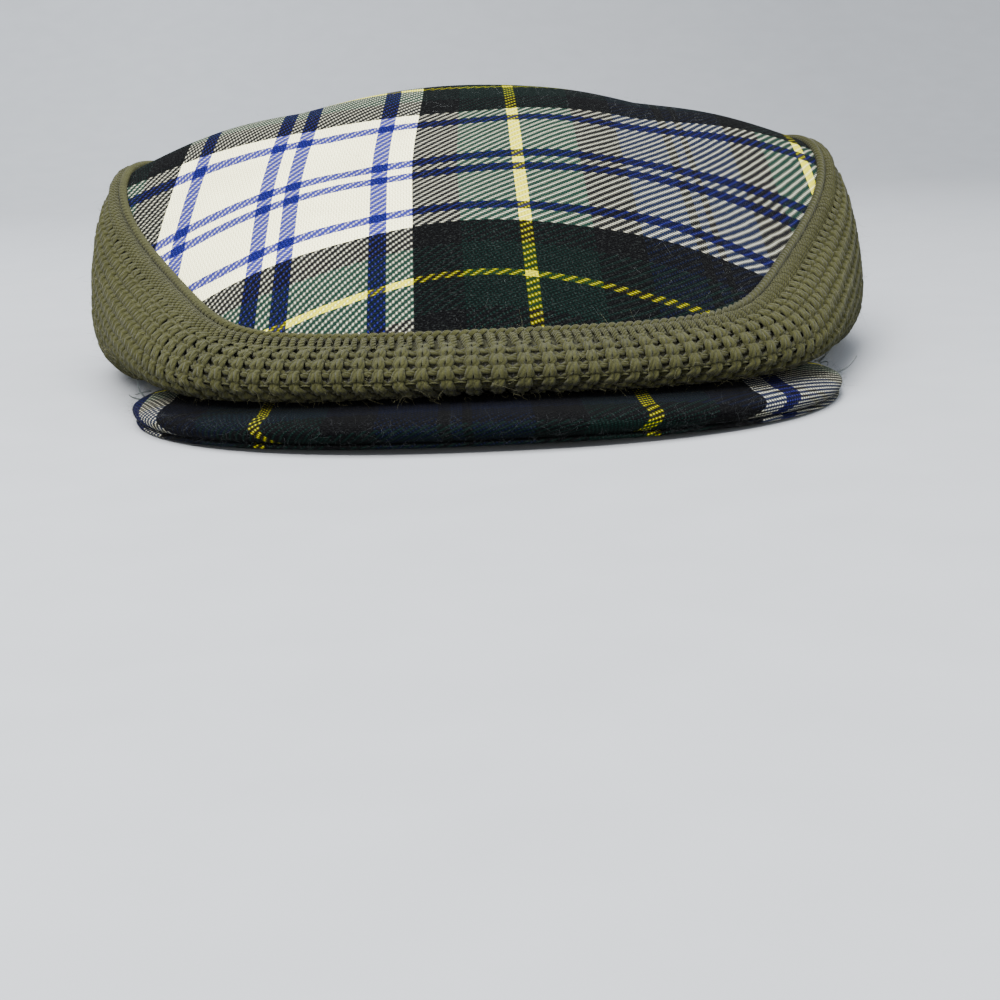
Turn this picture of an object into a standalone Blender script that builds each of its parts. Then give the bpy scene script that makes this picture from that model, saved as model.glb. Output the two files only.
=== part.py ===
"""A flat cap: a tartan crown panel, a knitted side band with a rolled edge, and a cloth-covered peak.

Metres, +Z up. The cap lies on its rim and its peak, which points towards -Y. The origin is on
the surface that it lies on, under the middle of its length and width.
"""

import math

import bmesh
import bpy
import numpy as np

# Driving sizes
CAP_LENGTH = 0.283
CROWN_WIDTH = 0.244
CROWN_LENGTH = 0.262
CROWN_HEIGHT = 0.086
HEAD_WIDTH = 0.158
HEAD_LENGTH = 0.196
HEAD_SETBACK = 0.030

PANEL_WALL = 0.002
BAND_WALL = 0.004
EDGE_ROLL_RADIUS = 0.0014

PEAK_WIDTH = 0.192
PEAK_REACH = 0.086
PEAK_SQUARENESS = 2.25
PEAK_THICKNESS = 0.0048
PEAK_ARCH = 0.0018
PEAK_MARGIN = 0.0012
PEAK_ROOT_TURN = 0.62
HORN_START = math.radians(80)
HORN_END = math.radians(102)
HORN_THINNING = 0.45
UNDERSIDE_WALL = 0.0009
UNDERSIDE_INSET = 0.0008
BAND_LIFT = 0.0008
BAND_COMES_DOWN = (math.radians(68), math.radians(92))
GAP = 0.0003

# The radius of the crown's crest along the cap and across it, and how far the band turns under
CREST_RADIUS_ALONG = 0.070
CREST_RADIUS_ACROSS = 0.185
TURN_UNDER_IN = 0.016

# Shares: where the crest is along the crown, how full the band's shoulder is (2 is an ellipse), how
# much of the band below its belly is bend, how narrow the tips of the peak's horns are, and the
# most that the crown may bulge (at 0.5 it would be a parabola)
CREST_ALONG = 0.69
SHOULDER_FULLNESS = 1.95
TURN_UNDER_BEND = 0.62
HORN_TIP = 0.02
ROUNDEST = 0.49

# The band's sections at equal turns from the front middle to the back middle. The seam is its upper
# edge and the belly its widest line. Across is a share of half the crown's width, along a share of
# the crown's length from its front, and height a share of the crown's height.
SECTION_COLUMNS = (
    "seam_across", "seam_along", "seam_height", "belly_across", "belly_along", "belly_height"
)
SECTIONS = {
    "front": (0.000, 0.065, 0.267, 0.000, 0.000, 0.163),
    "front_quarter": (0.436, 0.093, 0.273, 0.500, 0.036, 0.169),
    "front_corner": (0.632, 0.200, 0.342, 0.746, 0.155, 0.182),
    "front_side": (0.806, 0.402, 0.486, 0.902, 0.364, 0.203),
    "side": (0.920, 0.580, 0.672, 1.000, 0.565, 0.224),
    "back_side": (0.895, 0.752, 0.740, 0.966, 0.763, 0.244),
    "back_corner": (0.640, 0.897, 0.665, 0.697, 0.934, 0.250),
    "back": (0.000, 0.954, 0.615, 0.000, 1.000, 0.250),
}

# Facets
AROUND = 72
BAND_UPPER_STEPS = 8
BAND_LOWER_STEPS = 6
PANEL_STEPS = 10
PEAK_STEPS = 44
PEAK_ACROSS_STEPS = 5
PEAK_EDGE_STEPS = 6
EDGE_ROLL_STEPS = 96

OLIVE = (0.115, 0.112, 0.052, 1)
TARTAN_GREEN = (0.012, 0.045, 0.036, 1)
TARTAN_WHITE = (0.80, 0.79, 0.72, 1)
NAVY = (0.014, 0.018, 0.060, 1)

PEAK_FRONT_Y = -CAP_LENGTH / 2
CROWN_BACK_Y = CAP_LENGTH / 2
CROWN_FRONT_Y = CROWN_BACK_Y - CROWN_LENGTH
HEAD_CENTRE_Y = CROWN_FRONT_Y + HEAD_SETBACK + HEAD_LENGTH / 2


def wave_matrix(kind, orders, turns):
    """One row for each turn, one column for each order, of sines or cosines."""
    return kind(np.outer(turns, orders))


def wave_through(values, kind):
    """The coefficients of the sine or cosine series through values at equal turns, front to back."""
    turns = np.linspace(0, math.pi, len(values))
    if kind is np.sin:
        orders = np.arange(1, len(values) - 1)
        return orders, np.linalg.solve(wave_matrix(kind, orders, turns[1:-1]), values[1:-1])
    orders = np.arange(len(values))
    return orders, np.linalg.solve(wave_matrix(kind, orders, turns), values)


def section_waves():
    waves = {}
    for column, name in enumerate(SECTION_COLUMNS):
        values = [row[column] for row in SECTIONS.values()]
        kind = np.sin if name.endswith("across") else np.cos
        waves[name] = (kind, *wave_through(values, kind))
    return waves


WAVES = section_waves()


def section_value(name, turn):
    kind, orders, coefficients = WAVES[name]
    return float(kind(orders * turn) @ coefficients)


def ring_point(ring, turn):
    """A point of the seam or the belly line at a turn, 0 at the front and growing towards +X."""
    return np.array(
        (
            section_value(ring + "_across", turn) * CROWN_WIDTH / 2,
            CROWN_FRONT_Y + section_value(ring + "_along", turn) * CROWN_LENGTH,
            section_value(ring + "_height", turn) * CROWN_HEIGHT,
        )
    )


def head_point(turn, outset=0.0):
    """A point of the head opening's ellipse, moved outwards by outset."""
    return np.array(
        (
            (HEAD_WIDTH / 2 + outset) * math.sin(turn),
            HEAD_CENTRE_Y - (HEAD_LENGTH / 2 + outset) * math.cos(turn),
        )
    )


def peak_underside_height(x):
    """The peak is arched across: its middle stands higher than its corners."""
    return PEAK_ARCH * max(0.0, 1 - (2 * x / PEAK_WIDTH) ** 2)


def peak_top_height(x):
    return peak_underside_height(x) + UNDERSIDE_WALL + GAP + PEAK_THICKNESS


def smooth_step(value, start, end):
    share = min(1.0, max(0.0, (value - start) / (end - start)))
    return share * share * (3 - 2 * share)


def on_peak(turn):
    """1 in front, where the band lies over the peak, falling to 0 behind the peak's horns."""
    away = turn if turn <= math.pi else 2 * math.pi - turn
    return 1 - smooth_step(away, *BAND_COMES_DOWN)


def foot_height(turn, x):
    """The lowest height of the band: just above the peak in front, on the surface behind."""
    return on_peak(turn) * (peak_top_height(x) + BAND_LIFT)


def rim_point(turn):
    """The band's inner edge round the head opening, seated on the peak's inner margin in front."""
    x, y = head_point(turn, BAND_WALL)
    return np.array((x, y, on_peak(turn) * (peak_top_height(x) + GAP)))


def upper_band_point(turn, share):
    """From the seam at share 0 over the shoulder to the belly at share 1."""
    seam, belly = ring_point("seam", turn), ring_point("belly", turn)
    angle = share * math.pi / 2
    outward = math.sin(angle) ** (2 / SHOULDER_FULLNESS)
    downward = 1 - math.cos(angle) ** (2 / SHOULDER_FULLNESS)
    plan = seam[:2] + (belly[:2] - seam[:2]) * outward
    return np.array((plan[0], plan[1], seam[2] + (belly[2] - seam[2]) * downward))


def lower_band_point(turn, share):
    """From the belly at share 0 round the turn-under to the rim at share 1."""
    belly, rim = ring_point("belly", turn), rim_point(turn)
    inward = rim[:2] - belly[:2]
    reach = np.linalg.norm(inward)
    foot = belly[:2] + inward / reach * TURN_UNDER_IN
    height = foot_height(turn, foot[0])
    if share < TURN_UNDER_BEND:
        angle = share / TURN_UNDER_BEND * math.pi / 2
        plan = belly[:2] + (foot - belly[:2]) * (1 - math.cos(angle))
        return np.array((plan[0], plan[1], belly[2] + (height - belly[2]) * math.sin(angle)))
    run = (share - TURN_UNDER_BEND) / (1 - TURN_UNDER_BEND)
    plan = foot + (rim[:2] - foot) * run
    return np.array((plan[0], plan[1], height + (rim[2] - height) * run))


def band_point(turn, share):
    """The band's outer face, from the seam at share 0 to the rim at share 1."""
    upper = BAND_UPPER_STEPS / (BAND_UPPER_STEPS + BAND_LOWER_STEPS)
    if share <= upper:
        return upper_band_point(turn, share / upper)
    return lower_band_point(turn, (share - upper) / (1 - upper))


def panel_edge(turn):
    """The panel's edge lies inside the seam, clear of the rolled edge."""
    seam, belly = ring_point("seam", turn), ring_point("belly", turn)
    inward = (seam[:2] - belly[:2]) / np.linalg.norm(seam[:2] - belly[:2])
    plan = seam[:2] + inward * 2 * (EDGE_ROLL_RADIUS + GAP)
    return np.array((plan[0], plan[1], seam[2]))


def panel_point(turn, share):
    """The crown panel's outer face, from the crest at share 0 to its edge at share 1."""
    edge = panel_edge(turn)
    crest = np.array((0.0, CROWN_FRONT_Y + CREST_ALONG * CROWN_LENGTH, CROWN_HEIGHT))
    reach = edge[:2] - crest[:2]
    drop_at_edge = reach[1] ** 2 / CREST_RADIUS_ALONG + reach[0] ** 2 / CREST_RADIUS_ACROSS
    roundness = min(ROUNDEST, (crest[2] - edge[2]) / drop_at_edge)
    k = roundness / math.sqrt(1 - 2 * roundness)
    fall = (math.hypot(share, k) - k) / (math.hypot(1, k) - k)
    plan = crest[:2] + reach * share
    return np.array((plan[0], plan[1], crest[2] + (edge[2] - crest[2]) * fall))


def material(name, colour, roughness):
    made = bpy.data.materials.new(name)
    made.use_nodes = True
    shader = made.node_tree.nodes["Principled BSDF"]
    shader.inputs["Base Color"].default_value = colour
    shader.inputs["Roughness"].default_value = roughness
    shader.inputs["Metallic"].default_value = 0.0
    made.diffuse_color = colour
    return made


def place(name, mesh, surface, collection):
    """An object of a finished mesh, shaded smooth, in the cap's collection."""
    mesh.materials.append(surface)
    mesh.shade_smooth()
    made = bpy.data.objects.new(name, mesh)
    collection.objects.link(made)
    return made


def wrapped_grid(name, columns, rows, surface_point):
    """A grid primitive wrapped round the cap: columns go round, rows run along the section."""
    bm = bmesh.new()
    bmesh.ops.create_grid(bm, x_segments=columns, y_segments=rows, size=0.5)
    for vert in bm.verts:
        vert.co = surface_point((vert.co.x + 0.5) * 2 * math.pi, 0.5 - vert.co.y)
    bmesh.ops.remove_doubles(bm, verts=bm.verts, dist=1e-6)
    mesh = bpy.data.meshes.new(name)
    bm.to_mesh(mesh)
    bm.free()
    return mesh


def give_thickness(made, thickness):
    wall = made.modifiers.new("wall", "SOLIDIFY")
    wall.thickness = thickness
    wall.offset = -1
    wall.use_even_offset = True
    wall.use_quality_normals = True


def crown_panel(collection):
    mesh = wrapped_grid("crown_panel", AROUND, PANEL_STEPS, panel_point)
    made = place("crown_panel", mesh, material("tartan_twill", TARTAN_WHITE, 0.9), collection)
    give_thickness(made, PANEL_WALL)


def knit_band(collection):
    mesh = wrapped_grid("knit_band", AROUND, BAND_UPPER_STEPS + BAND_LOWER_STEPS, band_point)
    made = place("knit_band", mesh, material("olive_knit", OLIVE, 0.95), collection)
    give_thickness(made, BAND_WALL)


def signed_power(value, power):
    return math.copysign(abs(value) ** power, value)


def peak_edge(turn, inset=0.0):
    """The peak's front outline at a turn from its middle, drawn in by inset."""
    power = 2 / PEAK_SQUARENESS
    across = (PEAK_WIDTH / 2 - inset) * signed_power(math.sin(turn), power)
    along = (PEAK_REACH - inset) * signed_power(math.cos(turn), power)
    return np.array((across, PEAK_FRONT_Y + PEAK_REACH - along))


def peak_strip(turn, inset=0.0):
    """The middle of the peak's width at a turn, the way out to its edge, half that width and how
    thick it is, as a share: the horns are rounded off and thinner."""
    outer = peak_edge(turn, inset)
    inner = head_point(turn * PEAK_ROOT_TURN, PEAK_MARGIN + inset)
    half = np.linalg.norm(outer - inner) / 2
    past = max(0.0, (abs(turn) - HORN_START) / (HORN_END - HORN_START))
    rounded = half * math.sqrt(max(HORN_TIP**2, 1 - past * past))
    return (inner + outer) / 2, (outer - inner) / (2 * half), rounded, 1 - HORN_THINNING * past * past


def slab_loop(half_width, thickness, across_steps, edge_steps):
    """The rounded outline of a flat slab's section, as steps out and steps up, closed on itself."""
    radius = thickness / 2
    bend = min(radius, half_width)
    flat = half_width - bend
    top = [(-flat + 2 * flat * step / across_steps, thickness) for step in range(across_steps)]
    arc = [math.pi / 2 - math.pi * step / edge_steps for step in range(edge_steps)]
    outer = [(flat + bend * math.cos(a), radius + radius * math.sin(a)) for a in arc]
    bottom = [(-out, 0.0) for out, up in top]
    inner = [(-out, thickness - up) for out, up in outer]
    return top + outer + bottom + inner


def peak_mesh(name, inset, base, thickness, edge_steps):
    """A slab of the peak's outline that follows its arch, base above the underside."""
    loop_size = 2 * (PEAK_ACROSS_STEPS + edge_steps)
    bm = bmesh.new()
    bmesh.ops.create_grid(bm, x_segments=PEAK_STEPS, y_segments=loop_size, size=0.5)
    for vert in bm.verts:
        eased = math.sin(vert.co.x * math.pi)
        turn = HORN_END * eased
        middle, out, half, thickness_share = peak_strip(turn, inset)
        loop = slab_loop(half, thickness * thickness_share, PEAK_ACROSS_STEPS, edge_steps)
        step, up = loop[round((vert.co.y + 0.5) * loop_size) % loop_size]
        plan = middle + out * step
        vert.co = (plan[0], plan[1], base + peak_underside_height(plan[0]) + up)
    bmesh.ops.remove_doubles(bm, verts=bm.verts, dist=1e-6)
    rims = [edge for edge in bm.edges if edge.is_boundary]
    bmesh.ops.holes_fill(bm, edges=rims)
    bmesh.ops.recalc_face_normals(bm, faces=bm.faces)
    mesh = bpy.data.meshes.new(name)
    bm.to_mesh(mesh)
    bm.free()
    return mesh


def peak(collection):
    mesh = peak_mesh("peak", 0.0, UNDERSIDE_WALL + GAP, PEAK_THICKNESS, PEAK_EDGE_STEPS)
    place("peak", mesh, material("dark_tartan_twill", TARTAN_GREEN, 0.9), collection)


def peak_underside(collection):
    mesh = peak_mesh("peak_underside", UNDERSIDE_INSET, 0.0, UNDERSIDE_WALL, 2)
    place("peak_underside", mesh, material("underside_cloth", NAVY, 0.9), collection)


def edge_roll_point(turn):
    """The rolled edge lies on the seam, between the band and the panel."""
    seam, belly = ring_point("seam", turn), ring_point("belly", turn)
    inward = (seam[:2] - belly[:2]) / np.linalg.norm(seam[:2] - belly[:2])
    plan = seam[:2] + inward * (EDGE_ROLL_RADIUS + GAP)
    return (plan[0], plan[1], seam[2])


def seam_edging(collection):
    curve = bpy.data.curves.new("seam_edging", "CURVE")
    curve.dimensions = "3D"
    line = curve.splines.new("POLY")
    line.points.add(EDGE_ROLL_STEPS - 1)
    for step, point in enumerate(line.points):
        point.co = (*edge_roll_point(2 * math.pi * step / EDGE_ROLL_STEPS), 1)
    line.use_cyclic_u = True
    curve.bevel_depth = EDGE_ROLL_RADIUS
    curve.bevel_resolution = 2
    curve.materials.append(material("olive_edge", OLIVE, 0.95))
    collection.objects.link(bpy.data.objects.new("seam_edging", curve))


def main():
    for old in list(bpy.data.objects):
        bpy.data.objects.remove(old)
    cap = bpy.data.collections.new("flat_cap")
    bpy.context.scene.collection.children.link(cap)
    crown_panel(cap)
    knit_band(cap)
    seam_edging(cap)
    peak(cap)
    peak_underside(cap)


main()
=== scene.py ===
"""The looks of the flat cap: tartan twill crown and peak, olive rib knit band with a rolled edge.

Metres, +Z up, the peak towards -Y. The cap's forms repeat the construction's sections, so the cloth
and the knit lie where its solids are.
"""

import math
from collections import namedtuple
from contextlib import contextmanager

import bmesh
import bpy
import numpy as np
from mathutils import Matrix, Vector


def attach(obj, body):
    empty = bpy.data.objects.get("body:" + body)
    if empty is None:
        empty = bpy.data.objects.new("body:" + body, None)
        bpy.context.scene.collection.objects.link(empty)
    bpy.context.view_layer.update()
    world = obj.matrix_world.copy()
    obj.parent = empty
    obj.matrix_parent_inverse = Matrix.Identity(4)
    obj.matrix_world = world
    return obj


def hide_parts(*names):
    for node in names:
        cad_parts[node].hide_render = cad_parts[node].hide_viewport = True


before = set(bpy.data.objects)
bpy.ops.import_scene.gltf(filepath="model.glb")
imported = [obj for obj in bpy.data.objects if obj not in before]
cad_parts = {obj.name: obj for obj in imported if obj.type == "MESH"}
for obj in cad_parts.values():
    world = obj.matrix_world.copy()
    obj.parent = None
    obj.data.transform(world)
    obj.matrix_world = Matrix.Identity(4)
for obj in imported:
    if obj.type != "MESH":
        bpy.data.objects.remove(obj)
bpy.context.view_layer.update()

MM = 0.001
TURN = 2 * math.pi
UPWARD = np.array((0, 0, 1.0))

# The camera: its place, how far it looks down and aside, its roll, and its lens and sensor in mm
CAMERA_PLACE = (-0.00957, -0.54842, 0.0778)
CAMERA_DOWN = math.radians(12.28)
CAMERA_ASIDE = math.radians(1.382)
CAMERA_ROLL = math.radians(-2.3)
CAMERA_LENS = 64.8
CAMERA_SENSOR = 36

# The cap's forms, as in its construction: the whole, the head opening, the walls and the edge
CAP_LENGTH = 0.283
CROWN_WIDTH = 0.244
CROWN_LENGTH = 0.262
CROWN_HEIGHT = 0.086
HEAD_WIDTH = 0.158
HEAD_LENGTH = 0.196
HEAD_SETBACK = 0.030
BAND_WALL = 0.004
EDGE_ROLL_RADIUS = 0.0014

# The peak: its plan, thickness and arch, and how it thins towards the ends of its horns
PEAK_WIDTH = 0.192
PEAK_REACH = 0.086
PEAK_SQUARENESS = 2.25
PEAK_THICKNESS = 0.0048
PEAK_ARCH = 0.0018
PEAK_MARGIN = 0.0012
PEAK_ROOT_TURN = 0.62
HORN_START = math.radians(80)
HORN_END = math.radians(102)
HORN_THINNING = 0.45
HORN_TIP = 0.02
UNDERSIDE_WALL = 0.0009
UNDERSIDE_INSET = 0.0008

# The band over the peak, and the turns between which its rim comes down to the floor
BAND_LIFT = 0.0008
BAND_COMES_DOWN = (math.radians(68), math.radians(92))
GAP = 0.0003

# The crown's roundness at its crest, the band's shoulder, and how the band turns under
CREST_RADIUS_ALONG = 0.070
CREST_RADIUS_ACROSS = 0.185
TURN_UNDER_IN = 0.016
CREST_ALONG = 0.69
SHOULDER_FULLNESS = 1.95
TURN_UNDER_BEND = 0.62
ROUNDEST = 0.49

# The seam and the belly at equal turns from the front to the back, in shares of the crown's sizes
SECTION_COLUMNS = (
    "seam_across", "seam_along", "seam_height", "belly_across", "belly_along", "belly_height"
)
SECTIONS = {
    "front": (0.000, 0.065, 0.267, 0.000, 0.000, 0.163),
    "front_quarter": (0.436, 0.093, 0.273, 0.500, 0.036, 0.169),
    "front_corner": (0.632, 0.200, 0.342, 0.746, 0.155, 0.182),
    "front_side": (0.806, 0.402, 0.486, 0.902, 0.364, 0.203),
    "side": (0.920, 0.580, 0.672, 1.000, 0.565, 0.224),
    "back_side": (0.895, 0.752, 0.740, 0.966, 0.763, 0.244),
    "back_corner": (0.640, 0.897, 0.665, 0.697, 0.934, 0.250),
    "back": (0.000, 0.954, 0.615, 0.000, 1.000, 0.250),
}
BAND_UPPER_SHARE = 8 / 14

PEAK_FRONT_Y = -CAP_LENGTH / 2
CROWN_FRONT_Y = CAP_LENGTH / 2 - CROWN_LENGTH
HEAD_CENTRE_Y = CROWN_FRONT_Y + HEAD_SETBACK + HEAD_LENGTH / 2
CREST = np.array((0.0, CROWN_FRONT_Y + CREST_ALONG * CROWN_LENGTH, CROWN_HEIGHT))

# The tartan: threads to a band of colour, the size of a thread, and where its yellow lines cross
SETT = (
    ("cream", 8), ("royal", 6), ("cream", 28), ("royal", 6), ("cream", 5), ("royal", 6), ("cream", 28),
    ("royal", 6), ("cream", 8), ("black", 17), ("green", 19), ("yellow", 4), ("green", 20), ("black", 17),
    ("navy", 20), ("black", 4), ("navy", 3), ("black", 4), ("navy", 20), ("black", 17), ("green", 19),
    ("yellow", 4), ("green", 20), ("black", 17),
)
SETT_THREADS = sum(count for name, count in SETT)
YELLOW_THREAD = 139
YELLOWS_APART = 128
THREAD = 0.00075
DYES = {
    "cream": (0.96, 0.94, 0.72),
    "royal": (0.019, 0.020, 0.200),
    "black": (0.0035, 0.0035, 0.005),
    "green": (0.0045, 0.0190, 0.0155),
    "yellow": (0.53, 0.50, 0.0),
    "navy": (0.004, 0.007, 0.026),
}
YELLOW_WARP_X = 0.0126
YELLOW_WEFT_Y = -0.0750

# The knit: its rib repeats and courses, the yarn's path in one repeat, and its depth in the band
RIB_REPEATS = 152
COURSE = 0.0043
TOP_STITCH = 0.0038
YARN_RADIUS = 0.00094
LOOP_HEIGHT = 0.00265
LOOP_WIDENING = 0.00056
RIB_DEPTH = 0.00075
LOOP_DEPTH = 0.00125
PURL_DROP = 0.0012
KNIT_DEPTH = 0.0019
FLOOR_REST = 0.0003
FIRST_COURSE = 0.38
SHALLOW_NEAR_SEAM = 0.6
FULL_DEPTH_BETWEEN = (0.004, 0.009)
PAST_RIM = 0.3
YARN_STEPS = 18
YARN_SIDES = 5
OLIVE = (0.0268, 0.0273, 0.0093)

# How uneven the knit is: across in ribs, down in metres, in its depth's share, and wider in front
UNEVEN_ACROSS = 0.10
UNEVEN_DOWN = 0.00035
UNEVEN_DEPTH = 0.15
FRONT_WIDENING = 0.0060
FRONT_WIDENED = 0.030


def wave_through(values, kind):
    """The sine or cosine series through values at equal turns from the front to the back."""
    turns = np.linspace(0, math.pi, len(values))
    if kind is np.sin:
        orders = np.arange(1, len(values) - 1)
        return orders, np.linalg.solve(np.sin(np.outer(turns[1:-1], orders)), values[1:-1])
    orders = np.arange(len(values))
    return orders, np.linalg.solve(np.cos(np.outer(turns, orders)), values)


def section_waves():
    waves = {}
    for column, name in enumerate(SECTION_COLUMNS):
        kind = np.sin if name.endswith("across") else np.cos
        waves[name] = (kind, *wave_through([row[column] for row in SECTIONS.values()], kind))
    return waves


WAVES = section_waves()


def section_value(name, turn):
    kind, orders, coefficients = WAVES[name]
    return kind(np.asarray(turn, float)[..., None] * orders) @ coefficients


def ring_points(ring, turn):
    """The seam or the belly line at turns, 0 at the front and growing towards +X."""
    return np.stack(
        (
            section_value(ring + "_across", turn) * CROWN_WIDTH / 2,
            CROWN_FRONT_Y + section_value(ring + "_along", turn) * CROWN_LENGTH,
            section_value(ring + "_height", turn) * CROWN_HEIGHT,
        ),
        axis=-1,
    )


def head_plan(turn, outset):
    return np.stack(
        (
            (HEAD_WIDTH / 2 + outset) * np.sin(turn),
            HEAD_CENTRE_Y - (HEAD_LENGTH / 2 + outset) * np.cos(turn),
        ),
        axis=-1,
    )


def peak_underside_height(x):
    return PEAK_ARCH * np.clip(1 - (2 * x / PEAK_WIDTH) ** 2, 0, None)


def peak_top_height(x):
    return peak_underside_height(x) + UNDERSIDE_WALL + GAP + PEAK_THICKNESS


def normalised(vectors):
    return vectors / np.linalg.norm(vectors, axis=-1, keepdims=True)


def arc_lengths(points):
    """How far each of a row of points is from the first, along the row."""
    return np.concatenate(([0], np.cumsum(np.linalg.norm(np.diff(points, axis=0), axis=1))))


def smooth_step(value, start, end):
    share = np.clip((value - start) / (end - start), 0, 1)
    return share * share * (3 - 2 * share)


def on_peak(turn):
    away = np.where(turn <= math.pi, turn, TURN - turn)
    return 1 - smooth_step(away, *BAND_COMES_DOWN)


def band_points(turn, share):
    """The band's outer face, from the seam at share 0 over the belly to the rim at share 1."""
    turn, share = np.broadcast_arrays(np.asarray(turn, float), np.asarray(share, float))
    turn = turn % TURN
    seam = ring_points("seam", turn)
    belly = ring_points("belly", turn)
    upper = np.clip(share / BAND_UPPER_SHARE, 0, 1) * math.pi / 2
    out = np.sin(upper) ** (2 / SHOULDER_FULLNESS)
    down = 1 - np.cos(upper).clip(0) ** (2 / SHOULDER_FULLNESS)
    top_plan = seam[..., :2] + (belly - seam)[..., :2] * out[..., None]
    top_height = seam[..., 2] + (belly - seam)[..., 2] * down

    rim = head_plan(turn, BAND_WALL)
    inward = rim - belly[..., :2]
    foot = belly[..., :2] + normalised(inward) * TURN_UNDER_IN
    standing = on_peak(turn)
    foot_height = standing * (peak_top_height(foot[..., 0]) + BAND_LIFT)
    rim_height = standing * (peak_top_height(rim[..., 0]) + GAP)
    lower = np.clip((share - BAND_UPPER_SHARE) / (1 - BAND_UPPER_SHARE), 0, 1)
    angle = np.clip(lower / TURN_UNDER_BEND, 0, 1) * math.pi / 2
    run = np.clip((lower - TURN_UNDER_BEND) / (1 - TURN_UNDER_BEND), 0, 1)
    low_plan = belly[..., :2] + (foot - belly[..., :2]) * (1 - np.cos(angle))[..., None]
    low_plan = low_plan + (rim - foot) * run[..., None]
    low_height = belly[..., 2] + (foot_height - belly[..., 2]) * np.sin(angle)
    low_height = low_height + (rim_height - foot_height) * run

    below = share > BAND_UPPER_SHARE
    plan = np.where(below[..., None], low_plan, top_plan)
    height = np.where(below, low_height, top_height)
    return np.concatenate((plan, height[..., None]), axis=-1)


def seam_inward(turn):
    return normalised((ring_points("seam", turn) - ring_points("belly", turn))[..., :2])


def panel_points(turn, share):
    """The crown panel's outer face, from the crest at share 0 to its edge at share 1."""
    turn, share = np.broadcast_arrays(np.asarray(turn, float), np.asarray(share, float))
    turn = turn % TURN
    seam = ring_points("seam", turn)
    edge = seam[..., :2] + seam_inward(turn) * 2 * (EDGE_ROLL_RADIUS + GAP)
    reach = edge - CREST[:2]
    drop_at_edge = reach[..., 1] ** 2 / CREST_RADIUS_ALONG + reach[..., 0] ** 2 / CREST_RADIUS_ACROSS
    roundness = np.minimum(ROUNDEST, (CREST[2] - seam[..., 2]) / drop_at_edge)
    k = roundness / np.sqrt(1 - 2 * roundness)
    fall = (np.hypot(share, k) - k) / (np.hypot(1, k) - k)
    plan = CREST[:2] + reach * share[..., None]
    height = CREST[2] + (seam[..., 2] - CREST[2]) * fall
    return np.concatenate((plan, height[..., None]), axis=-1)


def signed_power(value, power):
    return np.sign(value) * np.abs(value) ** power


def peak_edge(turn, inset):
    power = 2 / PEAK_SQUARENESS
    return np.stack(
        (
            (PEAK_WIDTH / 2 - inset) * signed_power(np.sin(turn), power),
            PEAK_FRONT_Y + PEAK_REACH - (PEAK_REACH - inset) * signed_power(np.cos(turn), power),
        ),
        axis=-1,
    )


# Tools for pieces

def select_only(piece):
    bpy.ops.object.select_all(action="DESELECT")
    piece.select_set(True)
    bpy.context.view_layer.objects.active = piece


def coordinates(piece):
    found = np.empty(len(piece.data.vertices) * 3, np.float32)
    piece.data.vertices.foreach_get("co", found)
    return found.reshape(-1, 3).astype(float)


def set_coordinates(piece, points):
    piece.data.vertices.foreach_set("co", np.asarray(points, np.float32).ravel())
    piece.data.update()


def grid_piece(name, columns, rows):
    """A flat grid of one unit a side, whose points run from 0 to 1 along X and Y, with a UV map."""
    bpy.ops.object.select_all(action="DESELECT")
    bpy.ops.mesh.primitive_grid_add(x_subdivisions=columns, y_subdivisions=rows, size=1, calc_uvs=True)
    piece = bpy.context.object
    piece.name = name
    piece.data.name = name
    points = coordinates(piece)
    points[:, :2] += 0.5
    set_coordinates(piece, points)
    return piece


def apply_modifiers(piece):
    select_only(piece)
    for modifier in list(piece.modifiers):
        bpy.ops.object.modifier_apply(modifier=modifier.name)


def give_wall(piece, thickness, offset):
    """Thickens a sheet, inwards of it where offset is -1 and to both sides where it is 0."""
    wall = piece.modifiers.new("wall", "SOLIDIFY")
    wall.thickness = thickness
    wall.offset = offset
    apply_modifiers(piece)


@contextmanager
def open_mesh(piece):
    """The piece's mesh, open for changes, which are written back."""
    bm = bmesh.new()
    bm.from_mesh(piece.data)
    yield bm
    bm.to_mesh(piece.data)
    bm.free()


def close_seams(piece, distance=1e-5):
    """Joins the points where a wrapped grid meets itself."""
    with open_mesh(piece) as bm:
        bmesh.ops.remove_doubles(bm, verts=bm.verts, dist=distance)
        bmesh.ops.dissolve_degenerate(bm, dist=1e-7, edges=bm.edges)


def set_uv(piece, across, along):
    """Each corner's UV is its point's place on the flat cloth, in metres."""
    layer = piece.data.uv_layers[0]
    corners = np.empty(len(piece.data.loops), np.int32)
    piece.data.loops.foreach_get("vertex_index", corners)
    layer.data.foreach_set("uv", np.stack((across, along), axis=-1)[corners].astype(np.float32).ravel())


def finish_piece(piece, finish, replaces=()):
    select_only(piece)
    bpy.ops.object.shade_smooth()
    piece.data.materials.clear()
    piece.data.materials.append(finish)
    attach(piece, "root")
    if replaces:
        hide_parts(*replaces)
    return piece


# Finishes

BLACK = (0, 0, 0)
WHITE = (1, 1, 1)


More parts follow.
